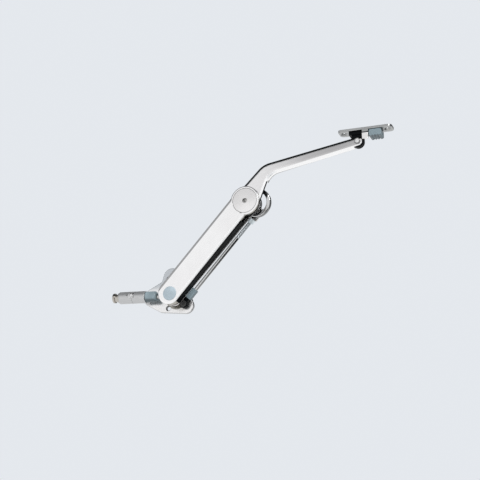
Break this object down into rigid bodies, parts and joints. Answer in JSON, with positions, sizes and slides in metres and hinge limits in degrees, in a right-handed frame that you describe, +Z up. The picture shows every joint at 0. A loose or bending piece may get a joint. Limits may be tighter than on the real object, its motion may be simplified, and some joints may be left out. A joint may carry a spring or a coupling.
{
  "type": "lift-up flap fitting",
  "caption": "Folding two-piece arm that holds a lift-up cabinet flap open, with a wall plate, a sprung barrel, a tie rod beside the lower arm and a bracket for the flap",
  "frame": {"origin": "on the lower pivot's axis, at the back of the mounting plate where it meets the cabinet wall", "axes": "+Y into the cabinet wall, +X towards the cabinet's front, +Z up; the fitting stands out along -Y"},
  "size_m": [0.3098, 0.0225, 0.1749],
  "materials": {
    "nickel": "near-white satin nickel plate, smooth",
    "satin": "fine brushed satin nickel",
    "chrome": "bright nickel, polished",
    "black_plastic": "black moulded plastic, faint sheen",
    "grey_plastic": "blue-grey moulded plastic, fine grain",
    "zinc": "pale bluish zinc plate",
    "steel": "turned steel, nickel plated",
    "spring_steel": "spring steel, oiled",
    "bearing_plastic": "natural white bearing plastic",
    "friction_lining": "brown friction lining"
  },
  "bodies": {
    "base": {"mounting_plate": "nickel", "pivot_stud": "steel", "tie_pin_lower": "steel", "barrel_holder": "grey_plastic", "spring_barrel": "chrome", "barrel_spring": "spring_steel"},
    "preload_screw": {"preload_screw": "chrome"},
    "preload_nut": {"preload_nut": "zinc"},
    "plunger": {"plunger": "steel"},
    "lower_arm": {"front_plate": "nickel", "rear_plate": "nickel", "arm_core": "black_plastic", "arm_studs": "steel", "hub_cam": "steel", "hub_rivets": "steel", "pivot_bush": "bearing_plastic", "pivot_cap": "grey_plastic", "elbow_cap": "satin", "friction_washer": "friction_lining", "disc_spring": "spring_steel"},
    "control_disc": {"control_disc": "chrome", "elbow_pin": "steel", "tie_pin_upper": "steel"},
    "tie_rod": {"tie_tube": "chrome", "tie_eye": "black_plastic", "tie_sleeve": "grey_plastic", "tie_stud": "steel", "tie_nut": "zinc"},
    "upper_arm": {"upper_arm": "satin", "elbow_insert": "black_plastic", "flap_pin": "steel"},
    "flap_bracket": {"flap_base": "nickel", "flap_saddle": "black_plastic", "flap_bush": "bearing_plastic"},
    "lock_slider": {"lock_slider": "grey_plastic"}
  },
  "joints": [
    {"name": "lower_pivot", "type": "hinge", "parent": "base", "child": "lower_arm", "pos_m": [0, -0.011, 0], "axis": [0, -1, 0], "range_deg": [0, 49]},
    {"name": "elbow_pivot", "type": "hinge", "parent": "lower_arm", "child": "upper_arm", "pos_m": [0.08297, -0.015, 0.09215], "axis": [0, -1, 0], "range_deg": [-130, 0]},
    {"name": "flap_pivot", "type": "hinge", "parent": "upper_arm", "child": "flap_bracket", "pos_m": [0.20367, -0.0145, 0.14306], "axis": [0, -1, 0], "range_deg": [-25, 15]},
    {"name": "disc_pivot", "type": "hinge", "parent": "lower_arm", "child": "control_disc", "pos_m": [0.08297, -0.0068, 0.09215], "axis": [0, -1, 0], "range_deg": [-49.5, 0.5]},
    {"name": "tie_pivot", "type": "hinge", "parent": "base", "child": "tie_rod", "pos_m": [0.00966, -0.0057, -0.0087], "axis": [0, -1, 0], "range_deg": [-0.5, 49.5]},
    {"name": "plunger_slide", "type": "slide", "parent": "base", "child": "plunger", "axis": [-0.9993, 0, 0.0384], "range_m": [-0.0001, 0.0042], "deforming": ["barrel_spring"]},
    {"name": "preload_turn", "type": "hinge", "parent": "base", "child": "preload_screw", "pos_m": [-0.06395, -0.0096, 0.00246], "axis": [-0.9993, 0, 0.0384], "range_deg": [-725, 725]},
    {"name": "preload_slide", "type": "slide", "parent": "base", "child": "preload_nut", "axis": [-0.9993, 0, 0.0384], "range_m": [-0.002, 0.002]},
    {"name": "lock_slide", "type": "slide", "parent": "flap_bracket", "child": "lock_slider", "axis": [1, 0, 0], "range_m": [0, 0.0045]}
  ],
  "couplings": [
    {"joint": "disc_pivot", "follows": "lower_pivot", "ratio": -1},
    {"joint": "tie_pivot", "follows": "lower_pivot", "ratio": 1},
    {"joint": "plunger_slide", "follows": "lower_pivot", "m_per_rad": 0.0046772},
    {"joint": "preload_turn", "follows": "preload_slide", "rad_per_m": -6283.2}
  ]
}
